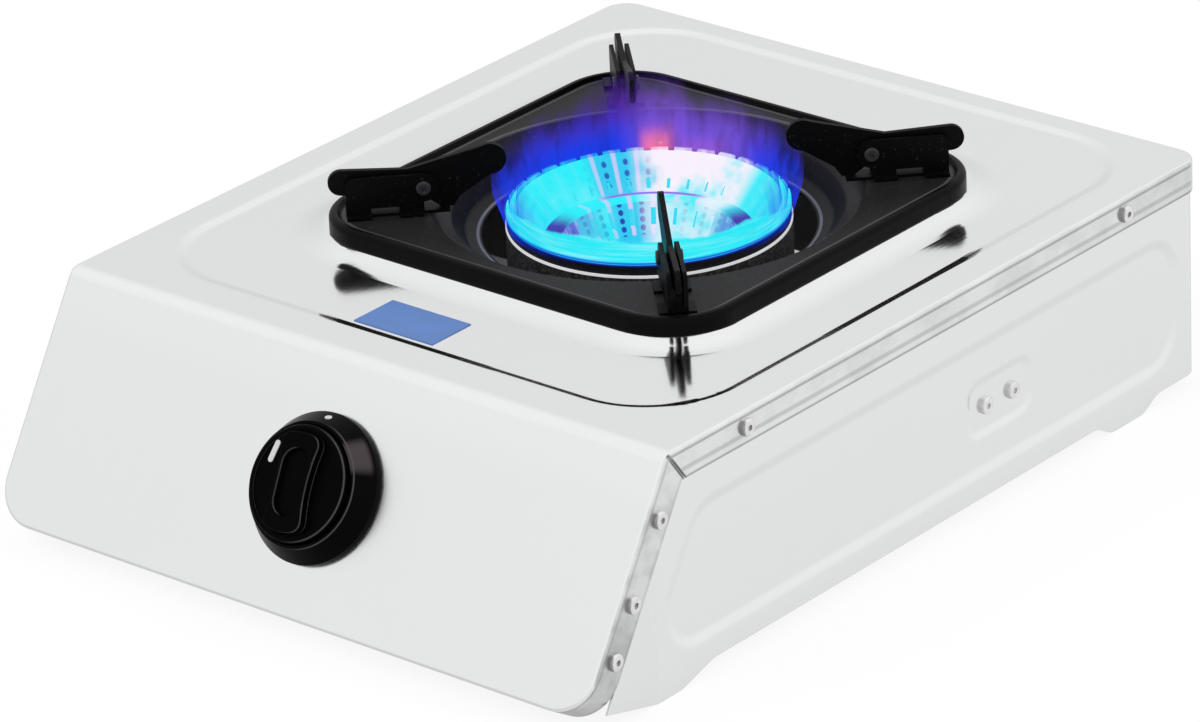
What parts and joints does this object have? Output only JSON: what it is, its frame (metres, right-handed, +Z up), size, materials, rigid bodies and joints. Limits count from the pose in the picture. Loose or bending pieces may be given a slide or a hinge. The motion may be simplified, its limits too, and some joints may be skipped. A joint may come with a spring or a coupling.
{
  "type": "single gas burner",
  "caption": "Table-top gas burner in pressed sheet steel with a sloped front, a turn knob, a cast burner and rocking pan supports on a lift-off tray.",
  "frame": {"origin": "on the floor, under the middle of the width and of the length from the front's lower edge to the hose nipple", "axes": "+X to the right seen from the knob's side, +Y from the knob to the rear, +Z up"},
  "size_m": [0.2836, 0.3854, 0.122],
  "materials": {
    "steel_sheet": "bright rolled sheet, polished",
    "plain_steel": "zinc plated, satin",
    "tray_enamel": "dark satin enamel",
    "support_black": "black enamel",
    "burner_iron": "cast, rough",
    "brass": "turned",
    "valve_alloy": "die cast",
    "knob_black": "satin moulded",
    "mark_white": "printed",
    "bezel_black": "glossy moulded",
    "insulator_white": "glazed",
    "lead_rubber": "silicone sleeve",
    "plate_blue": "plain blue foil",
    "screw_steel": "bright zinc"
  },
  "bodies": {
    "stove": {"top_front_panel": "steel_sheet", "side_panel_right": "steel_sheet", "side_panel_left": "steel_sheet", "rear_panel": "plain_steel", "burner_bracket": "plain_steel", "valve_plate": "plain_steel", "burner_body": "burner_iron", "jet": "brass", "gas_valve": "valve_alloy", "bezel": "bezel_black", "bezel_mark": "mark_white", "stem_spring": "plain_steel", "inlet_pipe": "valve_alloy", "inlet_nipple": "brass", "inlet_nut": "brass", "spark_insulator": "insulator_white", "spark_electrode": "plain_steel", "spark_lead": "lead_rubber", "piezo_unit": "knob_black", "rating_plate": "plate_blue", "strip_screws": "screw_steel", "strip_rivets": "screw_steel", "bracket_screws": "screw_steel", "rear_screws": "screw_steel", "valve_screws": "screw_steel", "burner_screws": "screw_steel"},
    "tray": {"pan_tray": "tray_enamel", "arm_bracket_rear_right": "support_black", "arm_bracket_rear_left": "support_black", "arm_bracket_front_left": "support_black", "arm_bracket_front_right": "support_black", "arm_rivet_rear_right": "screw_steel", "arm_rivet_rear_left": "screw_steel", "arm_rivet_front_left": "screw_steel", "arm_rivet_front_right": "screw_steel"},
    "fire": {"fire_ring": "burner_iron", "fire_cup": "burner_iron"},
    "push": {"spring_seat": "plain_steel"},
    "turn": {"knob": "knob_black", "knob_pointer": "mark_white", "valve_stem": "plain_steel"},
    "shutter": {"air_shutter": "plain_steel"},
    "blade_rear_right": {"arm_blade_rear_right": "support_black"},
    "blade_rear_left": {"arm_blade_rear_left": "support_black"},
    "blade_front_left": {"arm_blade_front_left": "support_black"},
    "blade_front_right": {"arm_blade_front_right": "support_black"}
  },
  "joints": [
    {"name": "tray_lift", "type": "slide", "parent": "stove", "child": "tray", "axis": [0, 0, 1], "range_m": [0, 0.06]},
    {"name": "fire_lift", "type": "slide", "parent": "stove", "child": "fire", "axis": [0, 0, 1], "range_m": [0, 0.016]},
    {"name": "knob_push", "type": "slide", "parent": "stove", "child": "push", "axis": [0, 0.8526, -0.5225], "range_m": [0, 0.003], "stiffness_N_per_m": 1300, "deforming": ["stem_spring"]},
    {"name": "knob_turn", "type": "hinge", "parent": "push", "child": "turn", "pos_m": [0, -0.16873, 0.05048], "axis": [0, -0.8526, 0.5225], "range_deg": [-57.5, 122.5]},
    {"name": "air_shutter_turn", "type": "hinge", "parent": "stove", "child": "shutter", "pos_m": [0, -0.08868, 0.057], "axis": [0, 1, 0], "range_deg": [-30, 30]},
    {"name": "rock_rear_right", "type": "hinge", "parent": "tray", "child": "blade_rear_right", "pos_m": [0.05834, 0.07565, 0.1076], "axis": [-0.7071, 0.7071, 0], "range_deg": [0, 12]},
    {"name": "rock_rear_left", "type": "hinge", "parent": "tray", "child": "blade_rear_left", "pos_m": [-0.05834, 0.07565, 0.1076], "axis": [-0.7071, -0.7071, 0], "range_deg": [0, 12]},
    {"name": "rock_front_left", "type": "hinge", "parent": "tray", "child": "blade_front_left", "pos_m": [-0.05834, -0.04102, 0.1076], "axis": [0.7071, -0.7071, 0], "range_deg": [0, 12]},
    {"name": "rock_front_right", "type": "hinge", "parent": "tray", "child": "blade_front_right", "pos_m": [0.05834, -0.04102, 0.1076], "axis": [0.7071, 0.7071, 0], "range_deg": [0, 12]}
  ]
}
